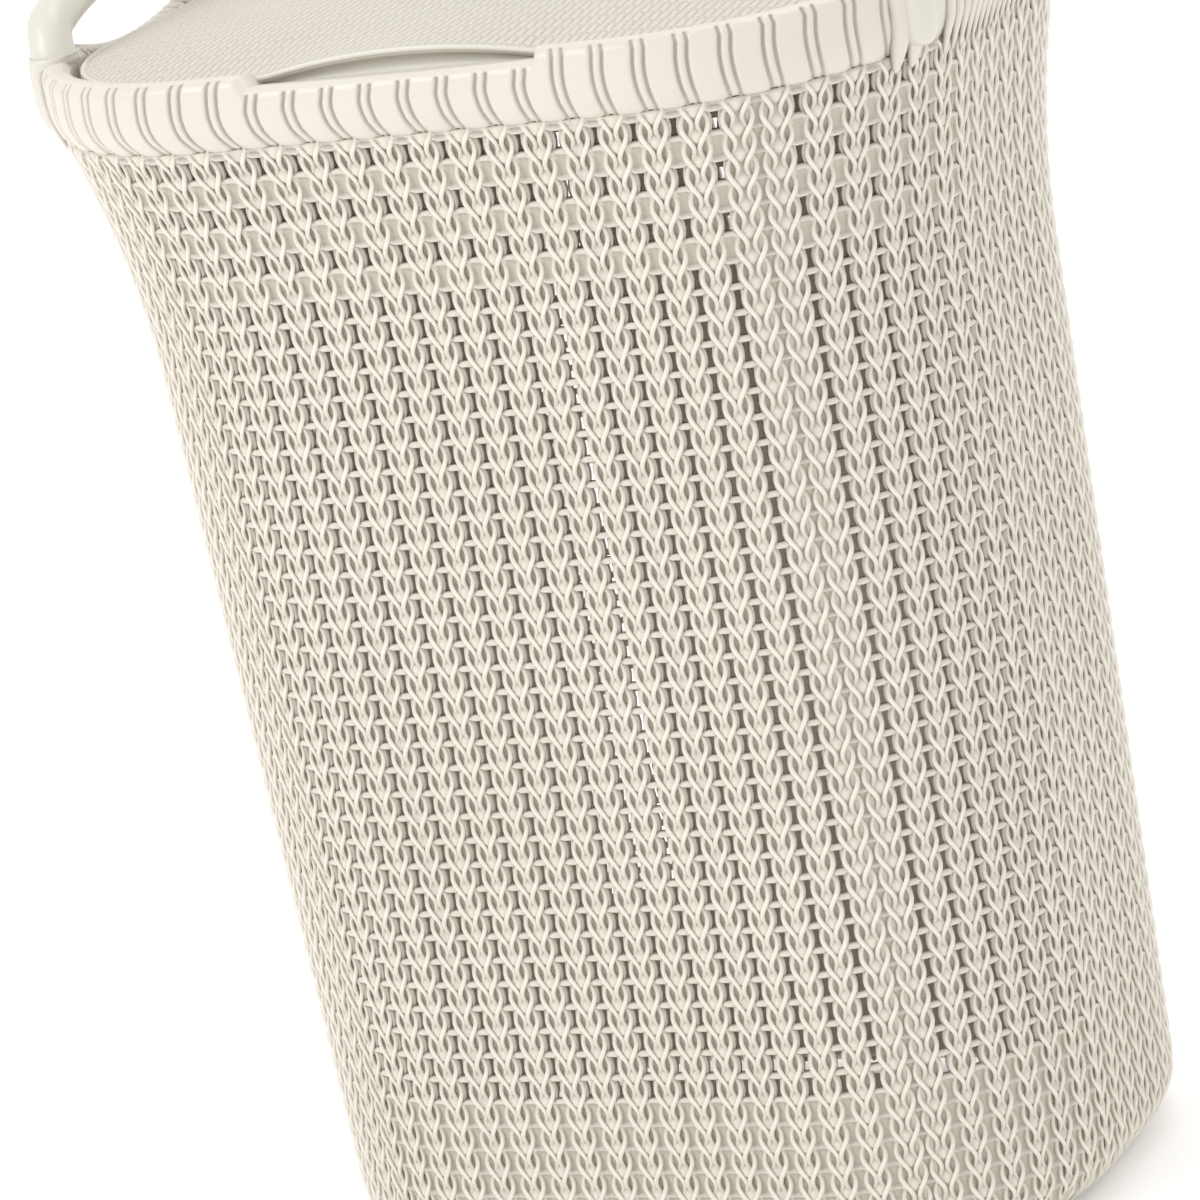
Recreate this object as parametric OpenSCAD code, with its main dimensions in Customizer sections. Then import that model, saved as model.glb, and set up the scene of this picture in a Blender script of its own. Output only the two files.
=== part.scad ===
// Laundry hamper with a knit-look tub, a drop-in lid hinged at the rear and two arched grips.
// Plan outlines are rounded rectangles about the same four corner centres. +Z is up, the front faces -Y.

/* [Tub] */
// Height of the rim's top above the ground
rim_top = 556; // [500:1:620]
// Half width of the wall at the ground, without the rounded bottom edge
base_half_x = 182.6; // [170:0.1:200]
// Half depth of the wall at the ground, without the rounded bottom edge
base_half_y = 129.2; // [120:0.1:150]
// Corner radius of the wall at the ground
base_corner = 106.7; // [90:0.1:115]
// Outward lean of the wall, per millimetre of height
wall_taper = 0.024; // [0:0.001:0.04]
// Extra width that the flare adds at the rim's lower edge, on each side
flare = 13.3; // [4:0.1:20]
// Length of the flare below the rim
flare_length = 114; // [60:1:200]
// Thickness of the wall, with the knit relief
wall = 3; // [2:0.1:5]
// Radius of the rounded bottom edge
bottom_round = 30; // [12:1:40]

/* [Rim] */
// Height of the smooth band round the top
band_height = 32; // [24:1:40]
// How far the band stands out from the wall
band_proud = 4; // [2:0.5:6]
// Width of the band's crowned top
band_width = 13; // [11:0.5:16]
// Height of the ledge that the lid rests on, below the rim's top
ledge_drop = 11; // [9:0.5:14]
// Half width of the finger notch at the front
notch_half = 69; // [50:1:85]
// Depth of the finger notch
notch_depth = 5; // [3:0.5:8]
// Depth of the rim's dip under each grip
dip_depth = 10; // [2:0.5:10.5]

/* [Grips] */
// Distance of each grip's feet from the middle of the short side
grip_half = 80; // [60:1:86]
// Radius of the bend above each foot
foot_bend = 17; // [13:1:24]
// Half of the angle that the grip's crown turns through
crown_angle = 16; // [12:1:35]
// Radius of the grip
grip_radius = 10; // [8:0.5:10]
// Outward lean of the grip at its middle
grip_lean = 10; // [6:0.5:12]
// Radius of the sleeve at each foot
sleeve_radius = 11; // [10:0.5:11.4]
// Depth of the sleeve's top below the rim's top
sleeve_drop = 2; // [-6:1:4]

/* [Lid] */
// Gap between the lid and the rim at the front and rear
lid_gap = 1; // [0.5:0.1:3]
// Gap between the lid and the rim at the short sides
lid_side_gap = 4.4; // [3:0.1:8]
// Height of the dome above the lid's edge
dome = 10; // [4:0.5:16]
// Thickness of the lid's panel
panel = 2.4; // [1.8:0.1:4]
// Half width of the finger lip
lip_half = 65; // [45:1:80]
// Rise of the finger lip at its middle
lip_rise = 6.5; // [3:0.5:8]

/* [Hinge] */
// Distance of each hinge clip from the middle
clip_place = 62; // [40:1:80]
// Width of each clip
clip_width = 18; // [12:1:24]
// Radius of the bar that a clip turns on
bar_radius = 2.2; // [1.8:0.1:2.6]
// Radial clearance between bar and clip
bar_clearance = 0.05; // [0.01:0.01:0.1]

/* [Hidden] */
$fn = 96;
cream = [0.89, 0.86, 0.80];
bright_cream = [0.92, 0.89, 0.84];
gap = 0.1;                                   // play between neighbouring faces of one moulding
corner_steps = 10;                           // chords in each rounded corner
front_steps = 20;                            // chords along the front of the lid's panel
swell_length = 70;                           // how far behind the lip the panel is still raised
band_bottom = rim_top - band_height;
corner_x = base_half_x - base_corner;        // half distances between the corner centres at the ground
corner_y = base_half_y - base_corner;
corner_growth = 0.325;                       // the corner radius grows by this share of the widening
top_growth = wall_taper * band_bottom + flare;
rim_corner_x = corner_x + (1 - corner_growth) * top_growth;
rim_corner_y = corner_y + (1 - corner_growth) * top_growth;
wall_top_radius = base_corner + corner_growth * top_growth;
band_radius = wall_top_radius + band_proud;  // outer radius of the band's corners
crown = 5;                                   // radius of the band's top edges
ledge_top = rim_top - ledge_drop;
ledge_width = 7;
ledge_thick = 3;
skin = 2.4;                                  // thickness of the band's lower skirt
lid_radius = band_radius - band_width - lid_gap;
lid_half_x = rim_corner_x + band_radius - band_width - lid_side_gap;
lid_corner_x = lid_half_x - lid_radius;
rest_gap = 0.2;
lid_bottom = ledge_top + rest_gap;
lid_edge_top = rim_top - 3;
border_width = 5;
border_foot = 2.2;                           // height of the border that runs on below the finger lip
hinge_y = rim_corner_y + band_radius - 6;
hinge_z = rim_top - 4;
clip_outer = bar_radius + 2.4;
pocket_play = 1.2;
grip_x = rim_corner_x + band_radius - 13;
sleeve_top = rim_top - sleeve_drop;
sleeve_bottom = band_bottom + 5;
spigot_radius = 6;
spigot_length = 10;

// How far the wall's outline has grown at height z
function growth(z) =
    let(t = max(0, (z - band_bottom + flare_length) / flare_length))
    wall_taper * z + flare * t * t;

// A rounded rectangle with corner centres (cx, cy) and radius r, at height z
function outline(cx, cy, r, z) = [
    for (corner = [0:3], step = [0:corner_steps])
        let(
            angle = 90 * corner + 90 * step / corner_steps,
            sx = corner == 0 || corner == 3 ? 1 : -1,
            sy = corner < 2 ? 1 : -1
        )
        [sx * cx + r * cos(angle), sy * cy + r * sin(angle), z]
];

// The wall's outline at height z, moved in by inset
function wall_outline(z, inset, at) =
    let(g = growth(z))
    outline(corner_x + (1 - corner_growth) * g, corner_y + (1 - corner_growth) * g,
        base_corner + corner_growth * g - inset, at);

// A solid skinned over rings of points that run anticlockwise about the way they are stacked.
// It is closed into a loop, or capped at both ends. Its sides are quads, or triangles where split is true.
module skinned(rings, looped, split = false) {
    n = len(rings[0]);
    count = len(rings);
    caps = looped ? [] : [[for (k = [0:n - 1]) k], [for (k = [n - 1:-1:0]) (count - 1) * n + k]];
    sides = [
        for (i = [0:count - (looped ? 1 : 2)], k = [0:n - 1])
            let(j = (i + 1) % count, m = (k + 1) % n)
            let(quad = [i * n + k, j * n + k, j * n + m, i * n + m])
            each split ? [[quad[0], quad[1], quad[2]], [quad[0], quad[2], quad[3]]] : [quad]
    ];
    polyhedron(points = [for (ring = rings) each ring], faces = concat(caps, sides));
}

// A closed band of one profile carried round the four corners: its x is the distance from a corner centre
module carried(cx, cy) {
    for (side = [0, 1], sy = [-1, 1]) {
        mirror([side, 0, 0])
            translate([cx, sy * cy, 0])
                rotate([0, 0, sy > 0 ? 0 : -90])
                    rotate_extrude(angle = 90)
                        children();
    }
    for (sy = [-1, 1])
        translate([-sy * cx, sy * cy, 0])
            rotate([90, 0, 90 * sy])
                linear_extrude(2 * cx)
                    children();
    for (sx = [-1, 1])
        translate([sx * cx, sx * cy, 0])
            rotate([90, 0, sx > 0 ? 0 : 180])
                linear_extrude(2 * cy)
                    children();
}

// Knit wall: a flared shell with a rounded bottom edge, open at the top and in the middle of the base
module tub_wall() {
    bend = [0, 18, 36, 54, 72, 90];
    rises = [60, 140, 220, 300, 380, 410, 430, 450, 470, 490, 508, band_bottom - gap];
    outer = concat(
        [for (a = bend)
            wall_outline(bottom_round, bottom_round * (1 - sin(a)), bottom_round * (1 - cos(a)))],
        [for (z = rises) wall_outline(z, 0, z)]
    );
    inner = concat(
        [for (i = [len(rises) - 1:-1:0]) wall_outline(rises[i], wall, rises[i])],
        [for (i = [len(bend) - 1:-1:0])
            let(r = bottom_round - wall)
            wall_outline(bottom_round, bottom_round - r * sin(bend[i]), bottom_round - r * cos(bend[i]))]
    );
    color(cream)
        skinned(concat(outer, inner), true);
}

// Flat floor, inside the wall's rounded bottom edge
module tub_floor() {
    edge = [for (p = wall_outline(bottom_round, bottom_round + gap, 0)) [p.x, p.y]];
    color(cream)
        linear_extrude(wall)
            polygon(edge);
}

// Section of the rim: a crowned band with a thin skirt below it and a ledge inside
module rim_section() {
    inner = band_radius - band_width;
    translate([band_radius - crown, rim_top - crown])
        circle(crown, $fn = 48);
    translate([inner + crown, rim_top - crown])
        circle(crown, $fn = 48);
    translate([inner + crown, rim_top - 2 * crown])
        square([band_width - 2 * crown, 2 * crown]);
    polygon([
        [inner, rim_top - crown], [inner, ledge_top], [inner - ledge_width, ledge_top],
        [inner - ledge_width, ledge_top - ledge_thick], [inner, ledge_top - ledge_thick],
        [band_radius - skin - 1, ledge_top - ledge_thick - 6], [wall_top_radius - skin, band_bottom],
        [wall_top_radius + 1, band_bottom], [band_radius, band_bottom + 10], [band_radius, rim_top - crown]
    ]);
}

// Rim: the band round the top, notched for the fingers, dipped under the grips, with two hinge pockets
module tub_rim() {
    dip_half = 64;
    dip_radius = (dip_half * dip_half / dip_depth + dip_depth) / 2;
    pocket_width = clip_width + 2 * pocket_play;
    pocket_bottom = hinge_z - clip_outer - pocket_play;
    color(bright_cream)
        difference() {
            carried(rim_corner_x, rim_corner_y)
                rim_section();
            translate([-notch_half, -rim_corner_y - band_radius - 1, rim_top - notch_depth])
                cube([2 * notch_half, band_width + 1, notch_depth + 1]);
            for (sx = [-1, 1])
                translate([sx * (rim_corner_x + band_radius), 0, rim_top - dip_depth + dip_radius])
                    rotate([0, 90, 0])
                        cylinder(h = 4 * band_width, r = dip_radius, center = true, $fn = 180);
            for (sx = [-1, 1], sy = [-1, 1])
                translate([sx * grip_x, sy * grip_half, sleeve_bottom])
                    cylinder(h = band_height, r = sleeve_radius);
            for (sx = [-1, 1])
                translate([sx * clip_place - pocket_width / 2, hinge_y - 20, pocket_bottom])
                    cube([pocket_width, 20 + clip_outer + 0.4, 20]);
        }
}

// Sleeve: the round socket that a grip's foot stands in
module sleeve(sx, sy) {
    chamfer = 2;
    color(bright_cream)
        translate([sx * grip_x, sy * grip_half, 0])
            difference() {
                rotate_extrude()
                    polygon([
                        [0, sleeve_bottom], [sleeve_radius, sleeve_bottom],
                        [sleeve_radius, sleeve_top - chamfer], [sleeve_radius - chamfer, sleeve_top],
                        [0, sleeve_top]
                    ]);
                translate([0, 0, sleeve_top - spigot_length])
                    cylinder(h = spigot_length + 1, r = spigot_radius);
            }
}

// Grip: a round bar bent into a low arch that leans outwards, with a spigot in each sleeve.
// Its centre line is a tight bend at each foot, joined by one wide crown that runs on from both.
module grip(sx) {
    sides = 20;
    bend_steps = 7;
    crown_steps = 14;
    bend_end = 90 - crown_angle;
    crown_radius = foot_bend + (grip_half - foot_bend) / cos(bend_end);
    crown_drop = (crown_radius - foot_bend) * sin(bend_end);
    front_bend = [
        for (i = [0:bend_steps])
            let(a = bend_end * i / bend_steps)
            [grip_half - foot_bend + foot_bend * cos(a), foot_bend * sin(a), a]
    ];
    crown_line = [
        for (i = [1:crown_steps - 1])
            let(a = bend_end + 2 * crown_angle * i / crown_steps)
            [crown_radius * cos(a), crown_radius * sin(a) - crown_drop, a]
    ];
    rear_bend = [for (i = [bend_steps:-1:0]) [-front_bend[i].x, front_bend[i].y, 180 - front_bend[i].z]];
    path = concat(front_bend, crown_line, rear_bend);
    rise = crown_radius - crown_drop;
    seat = sleeve_top + gap;
    rings = [
        for (p = path) [
            for (k = [0:sides - 1])
                let(
                    lean = grip_lean * pow(p.y / rise, 1.5),
                    turn = 360 * k / sides,
                    x = sx * (grip_x + lean) + grip_radius * cos(turn),
                    out = grip_radius * sin(turn)
                )
                [x, p.x + out * cos(p.z), seat + p.y + out * sin(p.z)]
        ]
    ];
    color(bright_cream) {
        skinned(rings, false);
        for (sy = [-1, 1])
            translate([sx * grip_x, sy * grip_half, seat - spigot_length + gap])
                cylinder(h = spigot_length + 1, r = spigot_radius - gap);
    }
}

// Hinge bar: a round pin across a pocket in the rear rim
module hinge_bar(sx) {
    length = clip_width + 2 * pocket_play;
    color(bright_cream)
        translate([sx * clip_place - length / 2, hinge_y, hinge_z])
            rotate([0, 90, 0])
                cylinder(h = length, r = bar_radius);
}

// Lid panel: a low dome of even thickness inside the border, swelling up at the front to meet the finger lip
module lid_panel() {
    shells = 12;
    r = lid_radius - border_width - gap;
    shares = [for (i = [1:shells]) i / shells];
    bottom = [for (f = shares) panel_ring(f, r, lid_edge_top - panel)];
    top = [for (i = [shells - 1:-1:0]) panel_ring(shares[i], r, lid_edge_top)];
    color(cream)
        skinned(concat(bottom, top), false, true);
}

// One ring of the panel at share f of the way to its edge, with extra points along the front
function panel_ring(f, r, edge) =
    let(
        cx = lid_corner_x * f,
        z = edge + dome * (1 - pow(f, 2.4)),
        ring = outline(cx, rim_corner_y * f, r * f, z),
        last = 3 * (corner_steps + 1),
        front = [for (k = [1:front_steps - 1]) [cx * (2 * k / front_steps - 1), ring[last].y, z]],
        whole = concat([for (i = [0:last - 1]) ring[i]], front, [for (i = [last:len(ring) - 1]) ring[i]])
    )
    [for (p = whole) [p.x, p.y, p.z + lip_swell(p.x, p.y + rim_corner_y + r)]];

// How far the panel swells up at x, at distance d behind its front edge
function lip_swell(x, d) =
    lip_rise * max(0, 1 - pow(x / lip_half, 2)) * pow(max(0, 1 - d / swell_length), 2);

// Lid border: the ring that rests on the ledge, open in front for the fingers
module lid_border() {
    color(bright_cream)
        difference() {
            carried(lid_corner_x, rim_corner_y)
                polygon([
                    [lid_radius - border_width, lid_bottom], [lid_radius, lid_bottom],
                    [lid_radius, lid_edge_top - 1], [lid_radius - 1, lid_edge_top],
                    [lid_radius - border_width, lid_edge_top]
                ]);
            translate([-lip_half, -rim_corner_y - lid_radius - 1, lid_bottom + border_foot])
                cube([2 * lip_half, border_width + 2, band_height]);
        }
}

// Height of the finger lip's top at x
function lip_height(x) = lid_edge_top + lip_rise * (1 - pow(x / lip_half, 2));

// Finger lip: an arched shelf as deep as the border, over a shallow hollow with a wall behind it
module lid_lip() {
    steps = 24;
    shelf = 2;
    back_wall = 1.2;
    front = -rim_corner_y - lid_radius;
    foot_top = lid_bottom + border_foot + gap;
    xs = [for (i = [0:steps]) (lip_half - gap) * (2 * i / steps - 1)];
    arch = [for (x = xs) [x, lip_height(x)]];
    color(bright_cream) {
        translate([0, front + border_width, 0])
            rotate([90, 0, 0])
                linear_extrude(border_width)
                    polygon(concat(arch, [for (i = [steps:-1:0]) [xs[i], lip_height(xs[i]) - shelf]]));
        translate([0, front + border_width, 0])
            rotate([90, 0, 0])
                linear_extrude(back_wall)
                    polygon(concat(
                        [for (p = arch) [p.x, p.y - gap]],
                        [[xs[steps], foot_top], [xs[0], foot_top]]
                    ));
    }
}

// Hinge clip: an eye round the bar, on an arm from the lid's rear edge
module hinge_clip(sx) {
    arm = 3;
    rear = rim_corner_y + lid_radius;
    color(bright_cream)
        translate([sx * clip_place - clip_width / 2, 0, 0])
            difference() {
                union() {
                    translate([0, hinge_y, hinge_z])
                        rotate([0, 90, 0])
                            cylinder(h = clip_width, r = clip_outer);
                    translate([0, rear + gap / 2, hinge_z - clip_outer])
                        cube([clip_width, hinge_y - rear, arm]);
                }
                translate([-1, hinge_y, hinge_z])
                    rotate([0, 90, 0])
                        cylinder(h = clip_width + 2, r = bar_radius + bar_clearance);
            }
}

tub_wall();
tub_floor();
tub_rim();
sleeve(-1, -1);  // sleeve_left_front
sleeve(-1, 1);  // sleeve_left_rear
sleeve(1, -1);  // sleeve_right_front
sleeve(1, 1);  // sleeve_right_rear
grip(-1);  // grip_left
grip(1);  // grip_right
hinge_bar(-1);  // hinge_bar_left
hinge_bar(1);  // hinge_bar_right
lid_panel();
lid_border();
lid_lip();
hinge_clip(-1);  // hinge_clip_left
hinge_clip(1);  // hinge_clip_right
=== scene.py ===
import math

import bpy
import numpy as np
from mathutils import Matrix, Vector


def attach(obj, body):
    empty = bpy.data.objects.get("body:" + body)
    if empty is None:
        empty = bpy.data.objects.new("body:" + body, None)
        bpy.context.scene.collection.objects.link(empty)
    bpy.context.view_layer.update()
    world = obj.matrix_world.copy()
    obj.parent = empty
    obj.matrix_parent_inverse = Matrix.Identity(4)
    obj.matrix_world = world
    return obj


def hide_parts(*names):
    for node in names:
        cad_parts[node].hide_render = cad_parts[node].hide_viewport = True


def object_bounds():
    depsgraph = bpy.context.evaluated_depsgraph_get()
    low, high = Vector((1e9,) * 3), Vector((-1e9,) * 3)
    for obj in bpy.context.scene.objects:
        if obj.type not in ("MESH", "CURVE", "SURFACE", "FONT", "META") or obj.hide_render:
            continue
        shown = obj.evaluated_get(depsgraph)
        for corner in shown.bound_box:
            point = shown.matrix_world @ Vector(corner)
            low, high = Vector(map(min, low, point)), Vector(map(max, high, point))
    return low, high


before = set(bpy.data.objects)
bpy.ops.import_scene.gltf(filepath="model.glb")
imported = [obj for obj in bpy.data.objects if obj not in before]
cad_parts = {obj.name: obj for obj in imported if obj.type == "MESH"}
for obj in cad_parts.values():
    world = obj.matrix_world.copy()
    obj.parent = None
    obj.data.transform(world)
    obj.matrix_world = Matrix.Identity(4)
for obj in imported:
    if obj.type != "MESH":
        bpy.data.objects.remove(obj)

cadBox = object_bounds()
# pieces stay just inside this half width
cadX = max(abs(float(cadBox[0][0])), float(cadBox[1][0])) - 0.00005


studio = {
    "aim": (-0.0250, -0.0133, 0.2772),      # point on the hamper that the camera looks at
    "azimuth": 27.88, "elevation": 15.76,   # degrees, from the front towards the right side
    "distance": 2.6552, "roll": 11.13,      # the camera is turned clockwise, so the hamper leans left
    "lens": 180.8,
    "world": 0.80, "worldColor": (1.0, 1.0, 1.0, 1.0),
    "look": "Standard",                     # plain view transform, so that the paper stays white
    "floorColor": (0.93, 0.925, 0.915, 1.0), "floorGlow": 0.22,
    # name, place, aim, size and power in watts
    "lamps": [
        ("keyLamp", (-1.3, -1.9, 2.1), (0, 0, 0.3), (1.4, 1.4), 30),
        ("fillLamp", (2.4, -0.9, 1.2), (0, 0, 0.3), (1.6, 1.6), 6),
        ("topLamp", (0.2, 0.7, 2.4), (0, 0, 0.5), (1.4, 1.0), 9),
    ],
    "glowPower": 0.065, "glowSize": 0.06, "glowColor": (1.0, 0.95, 0.86), "glowPlace": (0, 0, 0.2),
}


def addCamera(s):
    data = bpy.data.cameras.new("camera")
    data.lens, data.sensor_width, data.sensor_fit = s["lens"], 36.0, "HORIZONTAL"
    data.clip_start, data.clip_end = 0.05, 40.0
    cam = bpy.data.objects.new("camera", data)
    a, e = math.radians(s["azimuth"]), math.radians(s["elevation"])
    back = Vector((math.sin(a) * math.cos(e), -math.cos(a) * math.cos(e), math.sin(e)))
    upright = back.to_track_quat("Z", "Y").to_matrix().to_4x4()
    turn = upright @ Matrix.Rotation(-math.radians(s["roll"]), 4, "Z")
    cam.matrix_world = Matrix.Translation(Vector(s["aim"]) + back * s["distance"]) @ turn
    bpy.context.scene.collection.objects.link(cam)
    bpy.context.scene.camera = cam


def addLamp(name, place, aim, size, power):
    data = bpy.data.lights.new(name, "AREA")
    data.shape, data.size, data.size_y, data.energy = "RECTANGLE", size[0], size[1], power
    lamp = bpy.data.objects.new(name, data)
    toward = Vector(aim) - Vector(place)
    lamp.matrix_world = Matrix.Translation(place) @ toward.to_track_quat("-Z", "Y").to_matrix().to_4x4()
    bpy.context.scene.collection.objects.link(lamp)


addCamera(studio)
bpy.context.scene.view_settings.view_transform = studio["look"]
for lampSettings in studio["lamps"]:
    addLamp(*lampSettings)
glow = bpy.data.lights.new("insideGlow", "POINT")      # stands for the light that comes through the thin walls
glow.energy, glow.shadow_soft_size, glow.color = studio["glowPower"], studio["glowSize"], studio["glowColor"]
glowLamp = bpy.data.objects.new("insideGlow", glow)
glowLamp.location = studio["glowPlace"]
bpy.context.scene.collection.objects.link(glowLamp)
world = bpy.data.worlds.new("studioWorld")
bpy.context.scene.world = world
world.use_nodes = True
world.node_tree.nodes["Background"].inputs["Color"].default_value = studio["worldColor"]
world.node_tree.nodes["Background"].inputs["Strength"].default_value = studio["world"]
print("camera and lamps")


def meshPiece(name, points, faces, attributes=None):
    # points is (n, 3), faces is (m, 4) with the fourth corner -1 on a triangle
    mesh = bpy.data.meshes.new(name)
    quads = faces[faces[:, 3] >= 0]
    tris = faces[faces[:, 3] < 0][:, :3]
    loops = np.concatenate([quads.ravel(), tris.ravel()]).astype(np.int32)
    sizes = np.concatenate([np.full(len(quads), 4), np.full(len(tris), 3)])
    starts = np.concatenate([[0], np.cumsum(sizes)[:-1]]).astype(np.int32)
    mesh.vertices.add(len(points))
    mesh.vertices.foreach_set("co", np.ascontiguousarray(points, np.float32).ravel())
    mesh.loops.add(len(loops))
    mesh.loops.foreach_set("vertex_index", loops)
    mesh.polygons.add(len(sizes))
    mesh.polygons.foreach_set("loop_start", starts)
    mesh.update(calc_edges=True)
    mesh.polygons.foreach_set("use_smooth", np.full(len(sizes), True))
    for key, values in (attributes or {}).items():
        layer = mesh.attributes.new(key, "FLOAT", "POINT")
        layer.data.foreach_set("value", values.astype(np.float32).ravel())
    mesh.validate()
    obj = bpy.data.objects.new(name, mesh)
    bpy.context.scene.collection.objects.link(obj)
    return obj


def gridFaces(rows, columns, wrapRows=False, wrapColumns=False, flip=False):
    # quads of a grid whose point (i, j) is i * columns + j
    i = np.arange(rows if wrapRows else rows - 1)[:, None]
    j = np.arange(columns if wrapColumns else columns - 1)[None, :]
    i2, j2 = (i + 1) % rows, (j + 1) % columns
    corners = [i * columns + j, i * columns + j2, i2 * columns + j2, i2 * columns + j]
    faces = np.stack([np.broadcast_to(c, (i.size, j.size)) for c in corners], -1).reshape(-1, 4)
    return faces[:, ::-1] if flip else faces


def capFan(count):
    # triangles that close a ring of points, fanned out from the first
    k = np.arange(1, count - 1)
    return np.stack([0 * k, k, k + 1, 0 * k - 1], -1)


def smoothStep(t):
    t = np.clip(t, 0, 1)
    return t * t * (3 - 2 * t)


def finish(piece, body, slotName, material, *nodes):
    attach(piece, body)
    if nodes:
        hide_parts(*nodes)
    piece.data.materials.clear()
    piece.data.materials.append(material)
    return piece


def socketGroup(name, inputs, outputs):
    tree = bpy.data.node_groups.new(name, "ShaderNodeTree")
    for key, kind, value in inputs:
        socket = tree.interface.new_socket(name=key, in_out="INPUT", socket_type=kind)
        if value is not None:
            socket.default_value = value
    for key, kind in outputs:
        tree.interface.new_socket(name=key, in_out="OUTPUT", socket_type=kind)
    return tree, tree.nodes.new("NodeGroupInput"), tree.nodes.new("NodeGroupOutput")


def put(tree, kind, **values):
    # a node with its settings, and its numbered or named sockets set or linked
    node = tree.nodes.new(kind)
    sockets = values.pop("sockets", {})
    for key, value in values.items():
        setattr(node, key, value)
    for key, value in sockets.items():
        if isinstance(value, bpy.types.NodeSocket):
            tree.links.new(value, node.inputs[key])
        else:
            node.inputs[key].default_value = value
    return node


def maths(tree, operation, *values):
    return put(tree, "ShaderNodeMath", operation=operation, sockets=dict(enumerate(values))).outputs[0]


def mouldedGrainGroup():
    # fine speckle of a moulded skin for the bump, and slow clouds that change its shade and gloss
    tree, given, out = socketGroup(
        "mouldedGrain",
        [("Vector", "NodeSocketVector", None), ("Grain Scale", "NodeSocketFloat", 1400.0),
         ("Cloud Scale", "NodeSocketFloat", 9.0)],
        [("Height", "NodeSocketFloat"), ("Shade", "NodeSocketFloat"), ("Wear", "NodeSocketFloat")])
    grain = put(tree, "ShaderNodeTexNoise", sockets={
        "Vector": given.outputs["Vector"], "Scale": given.outputs["Grain Scale"], "Detail": 3.0,
        "Roughness": 0.6})
    cloud = put(tree, "ShaderNodeTexNoise", sockets={
        "Vector": given.outputs["Vector"], "Scale": given.outputs["Cloud Scale"], "Detail": 4.0,
        "Roughness": 0.55})
    wear = put(tree, "ShaderNodeTexNoise", sockets={
        "Vector": given.outputs["Vector"], "Scale": 60.0, "Detail": 5.0, "Roughness": 0.65})
    tree.links.new(grain.outputs["Fac"], out.inputs["Height"])
    tree.links.new(cloud.outputs["Fac"], out.inputs["Shade"])
    tree.links.new(wear.outputs["Fac"], out.inputs["Wear"])
    return tree


def stitchReliefGroup():
    # rows of small V stitches: two slanted lobes in each column, told apart by the side of its middle
    tree, given, out = socketGroup(
        "stitchRelief",
        [("Vector", "NodeSocketVector", None), ("Column Width", "NodeSocketFloat", 0.0062),
         ("Row Height", "NodeSocketFloat", 0.0072), ("Slant", "NodeSocketFloat", 0.55)],
        [("Height", "NodeSocketFloat"), ("PaintedHollowShade", "NodeSocketFloat")])
    split = put(tree, "ShaderNodeSeparateXYZ", sockets={0: given.outputs["Vector"]})
    column = maths(tree, "DIVIDE", split.outputs["X"], given.outputs["Column Width"])
    side = maths(tree, "PINGPONG", column, 0.5)
    lean = maths(tree, "MULTIPLY", side, given.outputs["Slant"])
    row = maths(tree, "ADD", maths(tree, "DIVIDE", split.outputs["Y"], given.outputs["Row Height"]), lean)
    lobe = maths(tree, "ABSOLUTE", maths(tree, "SINE", maths(tree, "MULTIPLY", row, math.pi)))
    cross = maths(tree, "SINE", maths(tree, "MULTIPLY", side, 2 * math.pi))
    height = maths(tree, "MULTIPLY", maths(tree, "POWER", lobe, 0.6), maths(tree, "POWER", cross, 0.7))
    # the low ground between the lobes gives a mask of painted shade for the stitch hollows
    hollow = put(tree, "ShaderNodeMapRange", sockets={0: height, 1: 0.1, 2: 0.55, 3: 1.0, 4: 0.0})
    tree.links.new(height, out.inputs["Height"])
    tree.links.new(hollow.outputs[0], out.inputs["PaintedHollowShade"])
    return tree


grainGroup = mouldedGrainGroup()
stitchGroup = stitchReliefGroup()


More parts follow.
